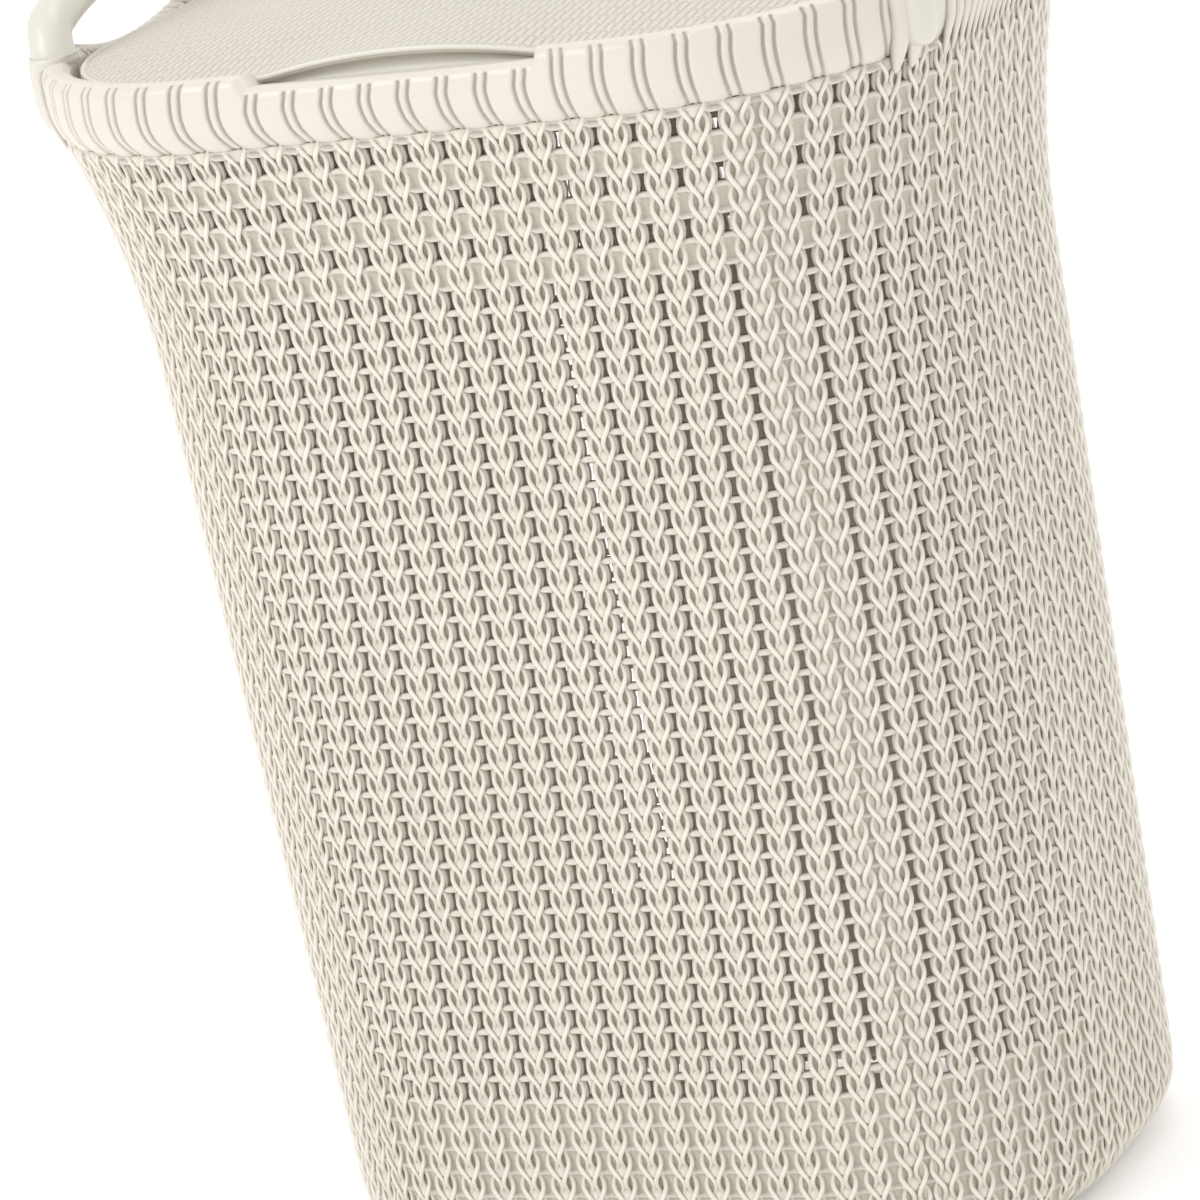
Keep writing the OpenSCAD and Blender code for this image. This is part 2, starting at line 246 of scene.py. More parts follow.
def plasticMaterial(name, look):
    # cream polypropylene: slow clouds between two close shades, painted shade that darkens the recesses and the
    # stitch hollows, fine grain in the bump
    mat = bpy.data.materials.new(name)
    mat.use_nodes = True
    tree = mat.node_tree
    shader = tree.nodes["Principled BSDF"]
    where = put(tree, "ShaderNodeTexCoord").outputs["Object"]
    grain = put(tree, "ShaderNodeGroup", node_tree=grainGroup, sockets={
        "Vector": where, "Grain Scale": look["grainScale"], "Cloud Scale": look.get("cloudScale", 9.0)})
    shade = put(tree, "ShaderNodeMapRange", sockets={0: grain.outputs["Shade"], 1: 0.3, 2: 0.7})
    color = put(tree, "ShaderNodeMix", data_type="RGBA", sockets={
        0: shade.outputs[0], 6: look["color"], 7: look["shadeColor"]}).outputs[2]
    height, strength = grain.outputs["Height"], look["grainDepth"]
    # painted shade: the colour is darkened towards a dark brown by a per-point mask of the hollows and undersides
    # where shade would fall
    if "paintedRecessShadeColor" in look:
        paintedRecessShade = put(tree, "ShaderNodeAttribute", attribute_name="paintedRecessShade").outputs["Fac"]
        paintedRecessShade = put(tree, "ShaderNodeMapRange", sockets={0: paintedRecessShade, 1: 0.0, 2: 1.0, 4: look["paintedRecessShade"]})
        color = put(tree, "ShaderNodeMix", data_type="RGBA", sockets={
            0: paintedRecessShade.outputs[0], 6: color, 7: look["paintedRecessShadeColor"]}).outputs[2]
    bump = put(tree, "ShaderNodeBump", sockets={"Strength": 0.6, "Distance": strength, "Height": height})
    if "stitch" in look:
        stitch = put(tree, "ShaderNodeGroup", node_tree=stitchGroup, sockets={
            "Vector": where, "Column Width": look["stitch"][0], "Row Height": look["stitch"][1]})
        # painted shade: the stitch hollows within the stitched area are darkened in colour, by the fourth number
        # of the stitch setting
        area = put(tree, "ShaderNodeAttribute", attribute_name="stitched").outputs["Fac"]
        paintedStitchShade = maths(tree, "MULTIPLY", stitch.outputs["PaintedHollowShade"], area)
        paintedStitchShade = maths(tree, "MULTIPLY", paintedStitchShade, look["stitch"][3])
        color = put(tree, "ShaderNodeMix", data_type="RGBA", sockets={
            0: paintedStitchShade, 6: color, 7: look["stitchColor"]}).outputs[2]
        relief = maths(tree, "MULTIPLY", stitch.outputs["Height"], area)
        bump = put(tree, "ShaderNodeBump", sockets={
            "Strength": 1.0, "Distance": look["stitch"][2], "Height": relief, "Normal": bump.outputs[0]})
    rough = put(tree, "ShaderNodeMapRange", sockets={
        0: grain.outputs["Wear"], 1: 0.3, 2: 0.7, 3: look["roughness"][0], 4: look["roughness"][1]})
    tree.links.new(color, shader.inputs["Base Color"])
    tree.links.new(rough.outputs[0], shader.inputs["Roughness"])
    tree.links.new(bump.outputs[0], shader.inputs["Normal"])
    shader.inputs["IOR"].default_value = 1.49
    return mat


# the knit and rim looks carry a dark colour and a strength for painted shade in their hollows and under their
# edges
knitLook = {"color": (0.86, 0.82, 0.735, 1), "shadeColor": (0.835, 0.79, 0.705, 1), "grainScale": 1500.0,
            "grainDepth": 0.00012, "roughness": (0.42, 0.56),
            "paintedRecessShadeColor": (0.34, 0.30, 0.235, 1), "paintedRecessShade": 0.8}
rimLook = {"color": (0.72, 0.675, 0.60, 1), "shadeColor": (0.695, 0.65, 0.575, 1), "grainScale": 1100.0,
           "grainDepth": 0.00005, "roughness": (0.27, 0.38),
           "paintedRecessShadeColor": (0.33, 0.29, 0.24, 1), "paintedRecessShade": 0.85}
# the lid look's last stitch number and its dark stitch colour give the painted shade in the stitch hollows
lidLook = {"color": (0.66, 0.615, 0.54, 1), "shadeColor": (0.635, 0.595, 0.52, 1), "grainScale": 1300.0,
           "grainDepth": 0.00006, "roughness": (0.40, 0.52), "stitch": (0.0080, 0.0100, 0.0009, 0.35),
           "stitchColor": (0.44, 0.395, 0.325, 1)}
gripLook = {"color": (0.70, 0.675, 0.605, 1), "shadeColor": (0.675, 0.65, 0.58, 1), "grainScale": 1000.0,
            "grainDepth": 0.00004, "roughness": (0.26, 0.36)}
plainLook = {"color": (0.85, 0.81, 0.73, 1), "shadeColor": (0.82, 0.78, 0.70, 1), "grainScale": 900.0,
             "grainDepth": 0.0001, "roughness": (0.4, 0.55)}
knitPlastic = plasticMaterial("knitPlastic", knitLook)
rimPlastic = plasticMaterial("rimPlastic", rimLook)
lidPlastic = plasticMaterial("lidPlastic", lidLook)
gripPlastic = plasticMaterial("gripPlastic", gripLook)
plainPlastic = plasticMaterial("plainPlastic", plainLook)
print("materials")


tubShape = {
    "cornerX": 0.0759, "cornerY": 0.0225, "cornerRadius": 0.1067,   # corner centres and radius at the ground
    "cornerShare": 0.325, "taper": 0.024, "flare": 0.0133, "flareLength": 0.114,
    "bandBottom": 0.524, "rimTop": 0.556, "bottomRound": 0.030, "bandProud": 0.004,
}


def growthAt(z):
    # outward growth of the wall: a straight lean, plus a parabola over the flare
    t = np.maximum(0, (z - tubShape["bandBottom"] + tubShape["flareLength"]) / tubShape["flareLength"])
    return tubShape["taper"] * z + tubShape["flare"] * t * t


def planPoint(share, cx, cy, radius):
    # point and outward normal at a share of a rounded rectangle's way round, anticlockwise from the front's middle
    quarter = cx + cy + radius * math.pi / 2
    s = np.mod(share, 1.0) * 4 * quarter
    left = s > 2 * quarter
    s = np.where(left, 4 * quarter - s, s)
    rear = s > quarter
    s = np.where(rear, 2 * quarter - s, s)
    angle = np.clip((s - cx) / radius, 0, math.pi / 2)
    beyond = np.maximum(0, s - cx - radius * math.pi / 2)
    x = np.where(s < cx, s, cx + radius * np.sin(angle))
    y = -cy - radius * np.cos(angle) + beyond
    nx, ny = np.sin(angle), -np.cos(angle)
    sx, sy = np.where(left, -1.0, 1.0), np.where(rear, -1.0, 1.0)
    return x * sx, y * sy, nx * sx, ny * sy


def wallTable(firstRow=0.516):
    # way down the wall's outer profile: straight and flared wall, then the rounded bottom edge
    z = np.linspace(0.540, tubShape["bottomRound"], 500)
    bend = np.linspace(math.pi / 2, 0, 60)[1:]
    r = tubShape["bottomRound"]
    zs = np.concatenate([z, r * (1 - np.cos(bend))])
    inset = np.concatenate([np.zeros(len(z)), r * (1 - np.sin(bend))])
    grown = growthAt(np.maximum(zs, r))
    out = grown - inset
    way = np.concatenate([[0], np.cumsum(np.hypot(np.diff(out), np.diff(zs)))])
    way -= np.interp(-firstRow, -zs, way)
    dOut, dUp = np.gradient(out, way), np.gradient(zs, way)
    return {"way": way, "z": zs, "inset": inset, "grown": grown, "nOut": -dUp, "nUp": dOut}


wallWay = wallTable()


def wallPlan(way):
    # corner centres, corner radius and length round at a way down the wall
    grown, inset = (np.interp(way, wallWay["way"], wallWay[k]) for k in ("grown", "inset"))
    share = tubShape["cornerShare"]
    cx = tubShape["cornerX"] + (1 - share) * grown
    cy = tubShape["cornerY"] + (1 - share) * grown
    radius = tubShape["cornerRadius"] + share * grown - inset
    return cx, cy, radius, 4 * (cx + cy) + 2 * math.pi * radius


def wallPoint(share, way, lift):
    # a point lifted off the wall along its normal
    cx, cy, radius, _ = wallPlan(way)
    x, y, nx, ny = planPoint(share, cx, cy, radius)
    z, nOut, nUp = (np.interp(way, wallWay["way"], wallWay[k]) for k in ("z", "nOut", "nUp"))
    return np.stack([x + nx * nOut * lift, y + ny * nOut * lift, z + nUp * lift], -1)


knit = {
    "columns": 72, "rowPitch": 0.011177, "rows": 47, "panels": 8,
    "openRows": [1, 3, 5] + list(range(7, 40)),       # rows whose cells have a through hole
    "partingColumn": 9, "partingPlace": 0.235,        # blind column at each corner, its ropes drawn together
    "ropePlace": 0.303, "swing": 0.00226, "depthSwing": 0.0008, "strand": 0.00112,
    "samples": 6, "sides": 5,
    "holeEnd": 0.0019, "holeWaist": 0.00115, "holeReach": 0.39,
    "sheetDepth": 0.0033, "rungDepth": 0.0011, "linkDepth": 0.0009, "betweenLinks": 0.0024,
    "sheetThick": 0.0020, "sheetStart": -0.0085, "blindDepth": 0.0030, "blindBank": 0.0019,
    "holeDepth": 0.0020, "openBank": 0.0027, "rungFoot": 0.0021,
    "bankPlace": 0.0027,                              # sideways place of the line between hole and rope
}


def isParting(column):
    k = knit["partingColumn"]
    return np.isin(np.mod(column, knit["columns"]), [k, 36 - k, 36 + k, 72 - k])


def strandTubes(columns):
    # each rope is two helices of opposite phase: across is swing times the cosine of the phase, and depth
    # follows its sine, so the strand that crosses in front leans the same way all the way down
    k = knit
    pitch, steps = k["rowPitch"], k["samples"]
    way = np.arange(-0.9 * steps, (k["rows"] - 0.35) * steps) / steps * pitch
    n = len(way)
    column, side, which = (a.ravel()[:, None] for a in np.meshgrid(columns, [-1, 1], [0, 1], indexing="ij"))
    phase = math.pi * (way / pitch)[None, :] + which * math.pi
    parting = isParting(column)
    place = np.where(parting, k["partingPlace"], k["ropePlace"])
    size = k["strand"]
    fade = smoothStep((way[-1] - way) / (2.5 * pitch))[None, :]
    around = wallPlan(way)[3][None, :]
    across = side * place * around / k["columns"] + k["swing"] * fade * np.cos(phase)
    depth = -side * k["depthSwing"] * fade * np.sin(phase)
    slope = math.pi / pitch * k["swing"] * fade * np.abs(np.sin(phase))
    wide = size * np.sqrt(1 + slope ** 2)
    sink = smoothStep((0.0014 - (way + 0.0066)) / 0.004)[None, :] * 0.0012
    centre = -(size + k["depthSwing"]) + depth - sink
    turn = 2 * math.pi * np.arange(k["sides"]) / k["sides"] + math.pi / 2
    off = across[..., None] + wide[..., None] * np.cos(turn)
    lift = centre[..., None] + size * np.sin(turn)
    share = column[..., None] / k["columns"] + off / around[..., None]
    points = wallPoint(share, np.broadcast_to(way[None, :, None], share.shape), lift)
    strands = len(column)
    ring = k["sides"]
    faces = gridFaces(n, ring, wrapColumns=True)
    ends = np.array([[0, 1, 2, -1], [0, 2, 3, -1], [0, 3, 4, -1]])
    tail = ends[:, [0, 2, 1, 3]] + np.array([1, 1, 1, 0]) * (n - 1) * ring
    one = np.concatenate([faces, ends, tail])
    shift = np.where(one >= 0, 1, 0)[None] * (np.arange(strands) * n * ring)[:, None, None]
    allFaces = (one[None] + shift).reshape(-1, 4)
    # painted shade: the deeper a point of a strand lies, the darker its colour
    paintedRecessShade = np.clip(-lift / 0.0040, 0, 1)
    return points.reshape(-1, 3), allFaces, paintedRecessShade.ravel()


def backSheet(columns):
    # thin sheet behind the ropes: hourglass holes in the open rows, a raised rung between them,
    # a link at each column's edge; both faces share one grid and are closed round every hole
    k = knit
    pitch = k["rowPitch"]
    rowLines = np.array([0.0, 0.5 - k["holeReach"], 0.30, 0.5, 0.70, 0.5 + k["holeReach"]])
    rows = np.arange(0, k["rows"] + 1)
    line = (rows[:, None] + rowLines[None, :]).ravel() - 0.5           # whole numbers are the middles of cells
    line = np.append(line, rows[-1] + 0.5)
    way = np.clip(line * pitch - pitch, k["sheetStart"], wallWay["way"][-1])
    cell = np.floor(line + 0.5).astype(int)                            # row number of each line
    part = line + 0.5 - cell                                           # 0 at the rung above, 0.5 at mid hole
    keep = np.concatenate([[True], np.diff(way) > 1e-6])
    way, cell, part = way[keep], cell[keep], part[keep]
    colLines = 7
    waist = np.clip(np.abs(part - 0.5) / k["holeReach"], 0, 1) ** 1.6
    half = k["holeWaist"] + (k["holeEnd"] - k["holeWaist"]) * waist
    around = wallPlan(way)[3] / k["columns"]
    bank = k["bankPlace"] + 0 * half
    stepsAcross = np.stack([-around / 2, -around * 0.33, -bank, -half, half, bank, around * 0.33], -1)
    column = np.asarray(columns)
    share = (column[None, :, None] + (stepsAcross / around[:, None])[:, None, :]) / k["columns"]
    share = share.reshape(len(way), -1)
    share = np.concatenate([share, np.full((len(way), 1), (column[-1] + 0.5) / k["columns"])], 1)
    opened = np.isin(cell, k["openRows"])[:, None] & ~isParting(column)[None, :]
    atRung = np.abs(part - 0.5) > 0.45
    nearRung = np.abs(part - 0.5) > 0.3
    depth = np.full((len(way), len(column), colLines), k["sheetDepth"])
    depth[..., 3:5] = np.where(opened[..., None], k["holeDepth"], k["blindDepth"])
    depth[..., 2] = depth[..., 5] = np.where(opened, k["openBank"], k["blindBank"])
    depth[nearRung, :, 1] = depth[nearRung, :, 6] = k["rungFoot"]
    depth[atRung, :, 2:6] = k["rungDepth"]
    depth[..., 0] = np.where(nearRung, k["linkDepth"], k["betweenLinks"])[:, None]
    depth = depth.reshape(len(way), -1)
    depth = np.concatenate([depth, depth[:, :1]], 1)
    rowsN, colsN = share.shape
    wayGrid = np.broadcast_to(way[:, None], share.shape)
    front = wallPoint(share, wayGrid, -depth)
    behind = wallPoint(share, wayGrid, np.full(share.shape, -(k["sheetDepth"] + k["sheetThick"])))
    solid = np.ones((rowsN - 1, colsN - 1), bool)
    middle = (part[:-1] + 0.08 >= 0.5 - k["holeReach"]) & (part[:-1] < 0.5 + k["holeReach"] - 0.01)
    middle &= part[:-1] > 0.05
    holes = middle[:, None] & opened[:-1]
    solid[:, 3::colLines][:, : len(column)] = ~holes
    index = np.arange(rowsN * colsN).reshape(rowsN, colsN)
    corners = np.stack([index[:-1, :-1], index[1:, :-1], index[1:, 1:], index[:-1, 1:]], -1)[solid]
    count = rowsN * colsN
    faces = [corners, corners[:, ::-1] + count]
    padded = np.pad(solid, 1)
    # walls between the two faces wherever a cell of the grid is filled on one side only
    for axis in (0, 1):
        if axis == 0:
            first, second = padded[:-1, 1:-1], padded[1:, 1:-1]
        else:
            first, second = padded[1:-1, :-1], padded[1:-1, 1:]
        a = index[:, :-1] if axis == 0 else index[:-1, :]
        b = index[:, 1:] if axis == 0 else index[1:, :]
        for mask, swap in ((~first & second, axis == 0), (first & ~second, axis == 1)):
            p, q = (b[mask], a[mask]) if swap else (a[mask], b[mask])
            faces.append(np.stack([q, p, p + count, q + count], -1))
    points = np.concatenate([front.reshape(-1, 3), behind.reshape(-1, 3)])
    # painted shade: the deeper points of the sheet are darkened in colour, and its whole back face a little
    paintedRecessShade = np.concatenate([np.clip(depth / 0.0040, 0, 1).ravel(), np.full(count, 0.25)])
    return points, np.concatenate(faces), paintedRecessShade


def knitPanel(number, columns):
    a, b = strandTubes(columns), backSheet(columns)
    faces = np.concatenate([a[1], b[1] + len(a[0])])
    paintedRecessShade = np.concatenate([a[2], b[2]])
    return meshPiece(f"knit_panel_{number}", np.concatenate([a[0], b[0]]), faces, {"paintedRecessShade": paintedRecessShade})


perPanel = knit["columns"] // knit["panels"]
for panel in range(knit["panels"]):
    piece = knitPanel(panel + 1, np.arange(perPanel) + panel * perPanel - perPanel // 2)
    finish(piece, "tub", "knit_plastic", knitPlastic, "tub_wall")
print("knit wall")


rim = {
    # across the rim's grooves, in shares of a column: half spacing of a pair, half floor, half mouth, and shift
    "grooveSpread": 0.13, "grooveFloor": 0.032, "grooveMouth": 0.062, "grooveShift": 0.49,
    "grooveDepth": 0.0012,
    "notchHalf": 0.069, "notchDrop": 0.005, "dipHalf": 0.064, "dipDrop": 0.0095,
    "plainHalf": 0.088,                      # no grooves within this distance of a short side's middle
    "plainBlend": 0.012, "lowerEdge": 0.5262,
    "dipFloorOut": 0.532, "dipFloorIn": 0.5452,   # a dip starts to lower the section above these heights
}
rimGrown = float(growthAt(np.array(tubShape["bandBottom"])))
rimX = tubShape["cornerX"] + (1 - tubShape["cornerShare"]) * rimGrown
rimY = tubShape["cornerY"] + (1 - tubShape["cornerShare"]) * rimGrown
wallRadius = tubShape["cornerRadius"] + tubShape["cornerShare"] * rimGrown
bandRadius = wallRadius + tubShape["bandProud"]


def arc(cx, cy, radius, start, end, steps):
    a = np.radians(np.linspace(start, end, steps))
    return np.stack([cx + radius * np.cos(a), cy + radius * np.sin(a)], -1)


def rimProfile():
    # closed section of the rim, in distance from the corner centres and height: up the outside, over the top,
    # and down to the ledge
    r, top, low = bandRadius, tubShape["rimTop"], rim["lowerEdge"]
    return np.concatenate([
        [[wallRadius - 0.0040, low + 0.0006], [wallRadius - 0.0026, low - 0.0014],
         [wallRadius - 0.0016, low - 0.0010],
         [wallRadius - 0.0002, low + 0.0009], [wallRadius + 0.0014, low + 0.0033],
         [wallRadius + 0.0027, low + 0.0066], [wallRadius + 0.0036, low + 0.0104], [r, low + 0.0148],
         [r, low + 0.0190], [r, top - 0.0057]],
        arc(r - 0.005, top - 0.005, 0.005, 0, 90, 8),
        arc(r - 0.008, top - 0.005, 0.005, 90, 180, 8)[1:],
        [[r - 0.013, top - 0.0085], [r - 0.0131, top - 0.0104], [r - 0.0138, top - 0.011],
         [r - 0.0165, top - 0.011], [r - 0.0193, top - 0.011], [r - 0.020, top - 0.0117],
         [r - 0.020, top - 0.0135], [r - 0.0194, top - 0.014],
         [r - 0.0135, top - 0.0142], [r - 0.0085, top - 0.0165], [r - 0.0062, low + 0.0085]]])


def lineShares():
    # grid lines round the rim: five across each groove, and a few between, 16 in each column
    d, floorHalf, mouthHalf = (rim[k] for k in ("grooveSpread", "grooveFloor", "grooveMouth"))
    groove = np.array([-mouthHalf, -floorHalf, 0, floorHalf, mouthHalf])
    rel = np.sort(np.concatenate([[-0.38, -0.26, 0.0, 0.26, 0.38, 0.5], groove - d, groove + d]))
    deep = np.interp(np.abs(np.abs(rel) - d), [0, floorHalf, mouthHalf], [1.0, 0.85, 0.0])
    columns = np.arange(knit["columns"])[:, None]
    return (columns + rel[None, :]).ravel() / knit["columns"], np.tile(deep, knit["columns"])


def makeRim():
    profile = rimProfile()
    shares, deep = lineShares()
    rho, z = profile[:, 0], profile[:, 1]
    steps = len(profile)
    j = np.arange(steps)
    outer = (j >= 2) & (j <= 14)
    # fall is 0 at the top of the band and 1 at its lower edge; grooves lean back, then sweep on to the ropes
    fall = np.clip((tubShape["rimTop"] - 0.004 - z) / 0.026, 0, 1)
    sway = np.where(j <= 10, -0.0072 * fall + 0.0086 * fall ** 2, 0.0)
    sway[-3:] = sway[0] * np.array([0.3, 0.6, 0.85])
    around = 4 * (rimX + rimY) + 2 * math.pi * bandRadius
    share = (shares[:, None] + rim["grooveShift"] / knit["columns"]) + sway[None, :] / around
    # the plain plan position of each line decides the notch, the dips and where the grooves stop
    px, py, _, _ = planPoint(share, rimX, rimY, bandRadius)
    onSide = (np.abs(px) > rimX + 0.6 * bandRadius)
    blend = rim["plainBlend"]
    plain = np.where(onSide, smoothStep((rim["plainHalf"] + blend - np.abs(py)) / blend), 0)
    straight = shares[:, None] + rim["grooveShift"] / knit["columns"]
    notchX, notchY, _, _ = planPoint(straight, rimX, rimY, bandRadius)
    inNotch = (notchY < 0) & (np.abs(notchX) < rim["notchHalf"])
    groove = deep[:, None] * outer[None, :] * (1 - plain) * rim["grooveDepth"]
    groove = np.where(inNotch & (z > 0.5535), 0, groove)
    groove *= np.where(fall > 0.9, 0.8, 1.0)[None, :]
    height = np.broadcast_to(z[None, :], share.shape).copy()
    notch = np.where(inNotch, rim["notchDrop"], 0)
    height -= notch * np.clip((z - 0.540) / 0.011, 0, 1)[None, :]
    across = np.clip(1 - (py / rim["dipHalf"]) ** 2, 0, 1)
    dip = np.where(onSide, rim["dipDrop"] * across ** 1.1, 0)
    dipFloor = np.where(j <= 14, rim["dipFloorOut"], rim["dipFloorIn"])
    height -= dip * np.clip((z - dipFloor) / (tubShape["rimTop"] - dipFloor), 0, 1)[None, :]
    # the lower edge hangs a little lower between the ropes
    edge = (j >= 1) & (j <= 4)
    height += edge[None, :] * (0.0007 * np.cos(2 * math.pi * knit["columns"] * shares))[:, None]
    x, y, nx, ny = planPoint(share, rimX, rimY, rho[None, :])
    points = np.stack([x - nx * groove, y - ny * groove, height], -1)
    faces = gridFaces(len(shares), steps, wrapRows=True, wrapColumns=True)
    # painted shade: the colour darkens in the grooves and along the rim's lower edge
    paintedRecessShade = groove / rim["grooveDepth"] * 0.8 + (j <= 1)[None, :] * 0.8
    return meshPiece("rim_band", points.reshape(-1, 3), faces, {"paintedRecessShade": paintedRecessShade})


finish(makeRim(), "tub", "rim_plastic", rimPlastic, "tub_rim")
print("rim")


wrap = {"pitch": 0.0066, "count": 19, "half": 0.00336, "thick": 0.0021, "slant": 0.006,
        "sides": 10, "steps": 22}
# leaf-shaped cords beyond the wrapped ones, two at each end
leaf = {"half": 0.0048, "thick": 0.0030, "slant": 0.003, "sides": 14, "steps": 26,
        "start": 0.0245, "gap": 0.0092, "over": 0.72}


def taperedCord(side, place, half, thick, slant, sides, steps, over=1.0):
    # a cord laid over the rim in a plane across it: from the inner top edge, over, and down the outside
    r, top, low = bandRadius, tubShape["rimTop"], rim["lowerEdge"]
    section = np.concatenate([
        arc(r - 0.008, top - 0.005, 0.005, 165, 90, 5), arc(r - 0.005, top - 0.005, 0.005, 90, 0, 6)[1:],
        [[r + 0.0002, top - 0.012], [r, low + 0.0145], [wallRadius + 0.0032, low + 0.0070],
         [wallRadius + 0.0016, low + 0.0020], [wallRadius - 0.0004, low - 0.0050],
         [wallRadius - 0.0014, low - 0.0085]]])
    way = np.concatenate([[0], np.cumsum(np.hypot(*np.diff(section, axis=0).T))])
    way /= way[-1]
    u = np.linspace(0, 1, steps)
    t = (1 - over) + over * u
    rho, z = np.interp(t, way, section[:, 0]), np.interp(t, way, section[:, 1])
    dr, dz = np.gradient(rho), np.gradient(z)
    size = np.hypot(dr, dz)
    nr, nz = -dz / size, dr / size
    swell = np.minimum(1, (u / 0.10 + 0.25)) * np.clip((1 - u) / 0.34, 0, 1) ** 0.5
    swell = np.maximum(swell, 0.06)
    y = place - slant * u ** 2.2
    across = np.clip(1 - (y / rim["dipHalf"]) ** 2, 0, 1) ** 1.1
    dipFloor = np.where(rho < r - 0.0065, rim["dipFloorIn"], rim["dipFloorOut"])
    z = z - rim["dipDrop"] * across * np.clip((z - dipFloor) / (top - dipFloor), 0, 1)
    turn = 2 * math.pi * np.arange(sides) / sides
    off = half * swell[:, None] * np.cos(turn)
    lift = thick * swell[:, None] * np.sin(turn)
    # the short side is straight near its middle, and turns with the corner beyond it
    around = 4 * (rimX + rimY) + 2 * math.pi * bandRadius
    share = 0.25 + (y[:, None] + off) / around
    x, yy, nx, ny = planPoint(share, rimX, rimY, (rho[:, None] + lift * nr[:, None]))
    height = z[:, None] + lift * nz[:, None]
    points = np.stack([side * x, yy, height], -1).reshape(-1, 3)
    faces = gridFaces(steps, sides, wrapColumns=True, flip=side < 0)
    fan = capFan(sides)
    caps = np.concatenate([fan[:, [0, 2, 1, 3]], fan + np.array([1, 1, 1, 0]) * (steps - 1) * sides])
    if side < 0:
        caps = caps[:, [0, 2, 1, 3]]
    # painted shade: each cord darkens in colour towards its sides and underside
    paintedRecessShade = np.broadcast_to(np.clip(0.8 - 1.1 * np.sin(turn), 0, 1)[None, :], (steps, sides))
    return points, np.concatenate([faces, caps]), paintedRecessShade.ravel()


def joinParts(parts):
    starts = np.concatenate([[0], np.cumsum([len(p[0]) for p in parts])[:-1]])
    faces = np.concatenate([np.where(p[1] >= 0, p[1] + s, -1) for p, s in zip(parts, starts)])
    return np.concatenate([p[0] for p in parts]), faces, np.concatenate([p[2] for p in parts])


for side, name in ((-1, "left"), (1, "right")):
    w = wrap
    places = (np.arange(w["count"]) - (w["count"] - 1) / 2) * w["pitch"]
    parts = [taperedCord(side, p, w["half"], w["thick"], w["slant"], w["sides"], w["steps"]) for p in places]
    for sign in (-1, 1):
        for k in (0, 1):
            place = sign * (places[-1] + leaf["start"] + k * leaf["gap"])
            settings = [leaf[v] for v in ("half", "thick", "slant", "sides", "steps", "over")]
            parts.append(taperedCord(side, place, *settings))
    points, faces, paintedRecessShade = joinParts(parts)
    finish(meshPiece(f"rim_cords_{name}", points, faces, {"paintedRecessShade": paintedRecessShade}), "tub", "rim_plastic", rimPlastic)
print("wrapped cords")


gripShape = {"x": rimX + bandRadius - 0.013, "half": 0.080, "bend": 0.017, "crown": 16.0, "radius": 0.010,
             "lean": 0.010, "seat": 0.5541, "sides": 32,
             "flatness": 0.90, "footSwell": 0.0006, "footShare": 0.05}


def gripPath(steps=64):
    # tight bend at each foot and one wide crown between them, by the same radii as the moulding
    g = gripShape
    end = math.radians(90 - g["crown"])
    wide = g["bend"] + (g["half"] - g["bend"]) / math.cos(end)
    drop = (wide - g["bend"]) * math.sin(end)
    lengths = (g["bend"] * end, wide * (math.pi - 2 * end))
    s = np.linspace(0, 2 * lengths[0] + lengths[1], steps)
    a1 = s / g["bend"]
    a2 = end + (s - lengths[0]) / wide
    a3 = math.pi - (s[-1] - s) / g["bend"]
    first, third = s <= lengths[0], s > lengths[0] + lengths[1]
    angle = np.where(first, a1, np.where(third, a3, a2))
    y = np.where(first, g["half"] - g["bend"] + g["bend"] * np.cos(a1),
                 np.where(third, -(g["half"] - g["bend"]) + g["bend"] * np.cos(a3), wide * np.cos(a2)))
    z = np.where(first, g["bend"] * np.sin(a1),
                 np.where(third, g["bend"] * np.sin(a3), wide * np.sin(a2) - drop))
    return y, z, angle, s / s[-1], wide - drop


def makeGrip(side):
    g = gripShape
    y, z, angle, along, rise = gripPath()
    turn = 2 * math.pi * np.arange(g["sides"]) / g["sides"]
    lean = g["lean"] * (np.clip(z, 0, None) / rise) ** 1.5
    # the section is round above and a little flatter below, and swells into the collar at each foot
    flat = np.where(np.sin(turn) < 0, g["flatness"], 1.0)
    ends = np.minimum(along, 1 - along)
    size = g["radius"] + g["footSwell"] * smoothStep((g["footShare"] - ends) / g["footShare"])
    out = size[:, None] * np.sin(turn) * flat
    x = side * (g["x"] + lean)[:, None] + size[:, None] * np.cos(turn)
    x = np.clip(x, -cadX, cadX)
    points = np.stack([x, y[:, None] + out * np.cos(angle)[:, None],
                       g["seat"] + z[:, None] + out * np.sin(angle)[:, None]], -1)
    n, m = len(y), g["sides"]
    faces = gridFaces(n, m, wrapColumns=True)
    fan = capFan(m)
    last = fan + np.array([1, 1, 1, 0]) * (n - 1) * m
    return points.reshape(-1, 3), np.concatenate([faces, fan[:, [0, 2, 1, 3]], last])


collar = {
    # height, radius and outward push of each ring, from the wall up to the grip's foot
    "rings": [
        (0.5268, 0.0040, 0.0052), (0.529, 0.0070, 0.0036), (0.533, 0.0098, 0.0020), (0.538, 0.0112, 0.0011),
        (0.544, 0.0118, 0.0007), (0.550, 0.0119, 0.0006), (0.5545, 0.0118, 0.0004), (0.5572, 0.0117, 0.0002),
        (0.5583, 0.0113, 0.0001), (0.5583, 0.0103, 0.0), (0.5572, 0.0101, 0.0),
    ],
    "sides": 40, "lidHeight": 0.549, "lidReach": 0.009, "pull": 0.20,
}


